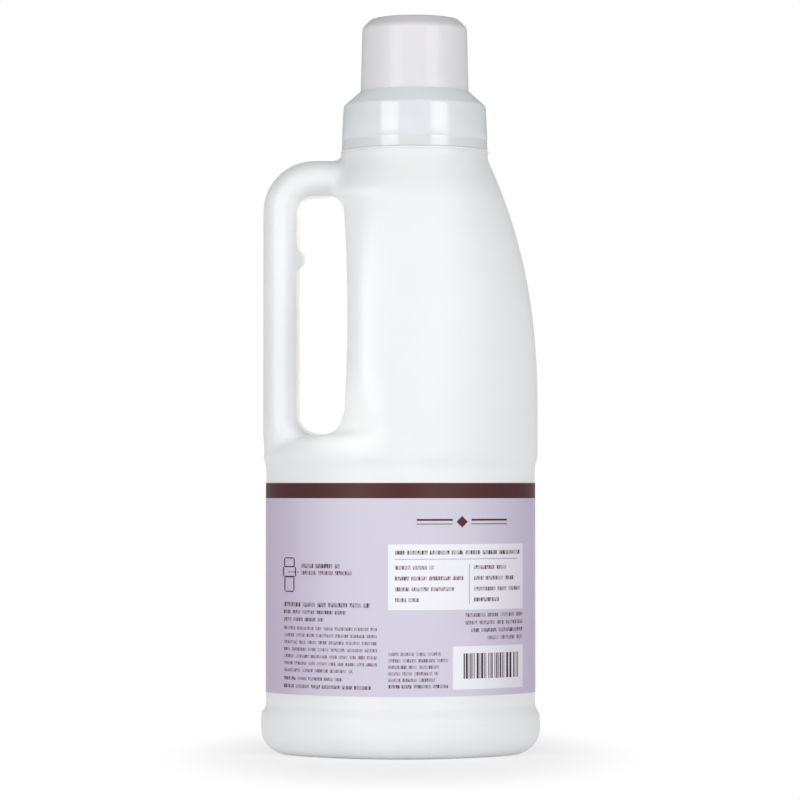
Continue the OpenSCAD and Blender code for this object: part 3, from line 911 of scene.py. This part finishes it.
def blown_plastic():
    """Milk-white blown polyethylene: painted shade makes it greyer above the liquid, and a painted glow
    brightens it beside the handle hole.
    """
    finish = Finish("milk_white_polyethylene", (0.9, 0.905, 0.915), 0.45, Specular_IOR_Level=0.42,
                    Subsurface_Weight=0.2, Subsurface_Scale=0.004, Subsurface_Radius=(1, 1, 1))
    height = finish.axis("Z")
    across = finish.axis("X")
    cloud = finish.noise(28, 3)
    filled = finish.mix(finish.ramp(cloud, 0.35, 0.65), (0.915, 0.92, 0.93), (0.895, 0.90, 0.912))
    # Painted shade: the wall above the fill line is greyed, standing in for the empty inside seen through it
    empty = finish.ramp(height, FILL_Z - 5 * MM, FILL_Z + 3 * MM)
    cloud_and_fill_shade = finish.mix(empty, filled, (0.84, 0.85, 0.855))
    finish.colour(cloud_and_fill_shade)
    # Painted glow: emission beside the handle hole stands in for light let through the thin wall there
    near_grip = finish.ramp(across, EYE_LEFT - 5 * MM, EYE_LEFT)
    near_body = finish.ramp(across, EYE_RIGHT + 6 * MM, EYE_RIGHT + 18 * MM, 1, 0)
    along = finish.times(finish.ramp(height, BODY_Z - 4 * MM, EYE_Z + 2 * MM),
                         finish.ramp(height, EYE_TOP - 4 * MM, ARM_TOP, 1, 0))
    low_body = finish.times(finish.ramp(height, EYE_Z + 4 * MM, EYE_Z + 32 * MM, 1, 0),
                            finish.ramp(across, EYE_LEFT, EYE_RIGHT))
    strength = finish.ramp(low_body, 0, 1, 0.035, 0.12)
    finish.link(finish.times(finish.times(near_grip, near_body), finish.times(along, strength)),
                finish.shader.inputs["Emission Strength"])
    finish.shader.inputs["Emission Color"].default_value = (1, 1, 0.97, 1)
    finish.bump(finish.noise(900, 3), 0.02 * MM, 0.5)
    return finish.material


def film_print():
    """The label's inks on a smooth film, with the rows broken into strokes, and painted shade towards its
    ends.
    """
    finish = Finish("printed_film", INKS["lilac"], 0.45, Specular_IOR_Level=0.14)
    inks = finish.add("ShaderNodeVertexColor", layer_name="print").outputs["Color"]
    grounds = finish.add("ShaderNodeVertexColor", layer_name="ground").outputs["Color"]
    stretch = finish.add("ShaderNodeVectorMath", operation="MULTIPLY")
    stretch.inputs[1].default_value = (1600, 0, 260)
    finish.link(finish.place, stretch.inputs[0])
    cells = finish.add("ShaderNodeTexVoronoi", feature="DISTANCE_TO_EDGE")
    cells.inputs["Scale"].default_value = 1
    finish.link(stretch.outputs["Vector"], cells.inputs["Vector"])
    printed = finish.mix(finish.ramp(cells.outputs["Distance"], 0.05, 0.25, 0.35), grounds, inks)
    # Painted shade: the print darkens towards the label's ends, where the film turns away from the lights
    aside = finish.add("ShaderNodeMath", operation="ABSOLUTE")
    finish.link(finish.axis("X"), aside.inputs[0])
    shade = finish.mix(finish.ramp(aside.outputs["Value"], 22 * MM, HALF_W), (1, 1, 1), (0.83, 0.78, 0.84))
    shaded = finish.add("ShaderNodeVectorMath", operation="MULTIPLY")
    finish.link(printed, shaded.inputs[0])
    finish.link(shade, shaded.inputs[1])
    finish.colour(shaded.outputs["Vector"])
    finish.link(finish.ramp(finish.noise(60, 3), 0.3, 0.7, 0.34, 0.44), finish.shader.inputs["Roughness"])
    finish.bump(finish.noise(120, 2), 0.03 * MM, 0.4)
    return finish.material


def clear_cap():
    """Translucent polypropylene, a little darker in a band at the top and where the skirt lies over the neck.
    """
    finish = Finish("translucent_polypropylene", (0.78, 0.78, 0.8), 0.14,
                    Subsurface_Weight=0.25, Subsurface_Scale=0.004, Subsurface_Radius=(1, 1, 1))
    height = finish.axis("Z")
    # The skirt is glossier and bluer than the tube, and the top is darker
    tube = finish.ramp(height, TUBE_Z - 1 * MM, TUBE_Z + 2 * MM)
    body = finish.mix(tube, (0.775, 0.80, 0.83), (0.785, 0.77, 0.79))
    finish.link(finish.ramp(height, TUBE_Z - 1 * MM, TUBE_Z + 2 * MM, 0.5, 0.16),
                finish.shader.inputs["Specular IOR Level"])
    top = finish.ramp(height, CAP_TOP - 5 * MM, CAP_TOP - 2.5 * MM)
    capped = finish.mix(top, body, (0.62, 0.62, 0.66))
    over_neck = finish.ramp(height, LINE_Z - 1 * MM, LINE_Z, 1, 0)
    lower = finish.mix(over_neck, capped, (0.74, 0.76, 0.775))
    cloud = finish.ramp(finish.noise(60, 2), 0.35, 0.65, 0, 0.12)
    finish.colour(finish.mix(cloud, lower, (0.68, 0.69, 0.73)))
    finish.bump(finish.noise(700, 2), 0.01 * MM, 0.4)
    return finish.material


def plain_moulding(name, low, high, roughness):
    """A moulded plastic with a faint cloud of tone and a fine grain."""
    finish = Finish(name, low, roughness, Specular_IOR_Level=0.45)
    finish.colour(finish.mix(finish.ramp(finish.noise(80, 3), 0.3, 0.7), low, high))
    finish.bump(finish.noise(1100, 2), 0.01 * MM, 0.5)
    return finish.material


def dress(obj, material):
    obj.data.materials.clear()
    obj.data.materials.append(material)


def make_floor():
    """A pale floor whose far part fades to the white of the background, and whose part round the bottle is
    greyed, partly by its real shadow and partly by painted shadow.
    """
    deselect()
    bpy.ops.mesh.primitive_plane_add(size=60)
    floor = bpy.context.object
    floor.name = "floor"
    finish = Finish("pale_floor", (0.93, 0.93, 0.93), 0.9, Specular_IOR_Level=0.1)
    squeeze = finish.add("ShaderNodeVectorMath", operation="MULTIPLY")
    squeeze.inputs[1].default_value = (1, 0.45, 0)
    finish.link(finish.place, squeeze.inputs[0])
    distance = finish.add("ShaderNodeVectorMath", operation="LENGTH")
    finish.link(squeeze.outputs["Vector"], distance.inputs[0])
    glow = finish.add("ShaderNodeEmission")
    glow.inputs["Strength"].default_value = 1
    # Painted shadow: near the bottle less of the white glow is mixed in, which leaves a grey pool round the
    # base as well as the real shadow
    far = finish.ramp(distance.outputs["Value"], 40 * MM, 95 * MM, 0.64, 1)
    path = finish.add("ShaderNodeLightPath")
    seen = finish.add("ShaderNodeMath", operation="ADD", use_clamp=True)
    finish.link(path.outputs["Is Camera Ray"], seen.inputs[0])
    finish.link(path.outputs["Is Glossy Ray"], seen.inputs[1])
    mixed = finish.add("ShaderNodeMixShader")
    finish.link(finish.times(far, seen.outputs["Value"]), mixed.inputs["Fac"])
    finish.link(finish.shader.outputs["BSDF"], mixed.inputs[1])
    finish.link(glow.outputs["Emission"], mixed.inputs[2])
    finish.link(mixed.outputs["Shader"], finish.tree.nodes["Material Output"].inputs["Surface"])
    dress(floor, finish.material)


# Strip lights either side of the camera: turn in degrees, size in metres and power in watts
SOFTBOX_TURN = 40
SOFTBOX_AWAY = 1.3
SOFTBOX_Z = 0.25
SOFTBOX_W = 0.66
SOFTBOX_H = 1.1
SOFTBOX_POWER = 9.3


def softbox(name, azimuth):
    """A strip light that stands beside the camera and faces the bottle."""
    light = bpy.data.lights.new(name, "AREA")
    light.shape = "RECTANGLE"
    light.size, light.size_y, light.energy = SOFTBOX_W, SOFTBOX_H, SOFTBOX_POWER
    obj = bpy.data.objects.new(name, light)
    a = math.radians(azimuth)
    obj.location = (SOFTBOX_AWAY * math.sin(a), -SOFTBOX_AWAY * math.cos(a), SOFTBOX_Z)
    obj.rotation_euler = (math.pi / 2, 0, a)
    bpy.context.scene.collection.objects.link(obj)


def make_world():
    world = bpy.data.worlds.new("studio")
    bpy.context.scene.world = world
    world.use_nodes = True
    tree = world.node_tree
    ground = tree.nodes["Background"]
    ground.inputs["Color"].default_value = (1, 1, 1, 1)
    ground.inputs["Strength"].default_value = 0.42
    white = tree.nodes.new("ShaderNodeBackground")
    white.inputs["Color"].default_value = (1, 1, 1, 1)
    white.inputs["Strength"].default_value = 1
    path = tree.nodes.new("ShaderNodeLightPath")
    mix = tree.nodes.new("ShaderNodeMixShader")
    tree.links.new(path.outputs["Is Camera Ray"], mix.inputs["Fac"])
    tree.links.new(ground.outputs["Background"], mix.inputs[1])
    tree.links.new(white.outputs["Background"], mix.inputs[2])
    tree.links.new(mix.outputs["Shader"], tree.nodes["World Output"].inputs["Surface"])


# The photograph's view, level with the label and about a metre and a half away. The tilt is in degrees.
CAMERA_X = -0.2 * MM
CAMERA_AWAY = 1480 * MM
CAMERA_Z = 96.7 * MM
CAMERA_TILT = 91.32
LENS = 180
SENSOR = 36


def make_camera():
    camera = bpy.data.cameras.new("camera")
    camera.lens, camera.sensor_width = LENS, SENSOR
    obj = bpy.data.objects.new("camera", camera)
    obj.location = (CAMERA_X, -CAMERA_AWAY, CAMERA_Z)
    obj.rotation_euler = (math.radians(CAMERA_TILT), 0, 0)
    bpy.context.scene.collection.objects.link(obj)
    bpy.context.scene.camera = obj


def place(obj, body, slot, material, *nodes):
    dress(obj, material)
    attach(obj, body)
    if nodes:
        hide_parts(*nodes)


make_camera()
polyethylene = blown_plastic()
place(make_bottle(), "filled_bottle", "bottle", polyethylene, "bottle")
place(make_flash(), "filled_bottle", "bottle", thin_web())
place(make_label(), "filled_bottle", "label", film_print(), "wrap_label")
place(make_cap(), "cap", "cap", clear_cap(), "measuring_cap")
nodes = frame["nodes"]
for node, finish_name, low, high, roughness in (
        ("pour_spout", "natural_polyethylene", (0.82, 0.83, 0.84), (0.86, 0.87, 0.88), 0.3),
        ("cap_gasket", "foamed_liner", (0.7, 0.71, 0.72), (0.78, 0.78, 0.79), 0.7),
        ("softener_liquid", "milky_liquid", (0.88, 0.9, 0.94), (0.9, 0.92, 0.95), 0.12)):
    dress(nodes[node], plain_moulding(finish_name, low, high, roughness))

make_floor()
make_world()
for side_name, azimuth in (("left_strip", -SOFTBOX_TURN), ("right_strip", SOFTBOX_TURN)):
    softbox(side_name, azimuth)
bpy.context.scene.view_settings.view_transform = "Standard"
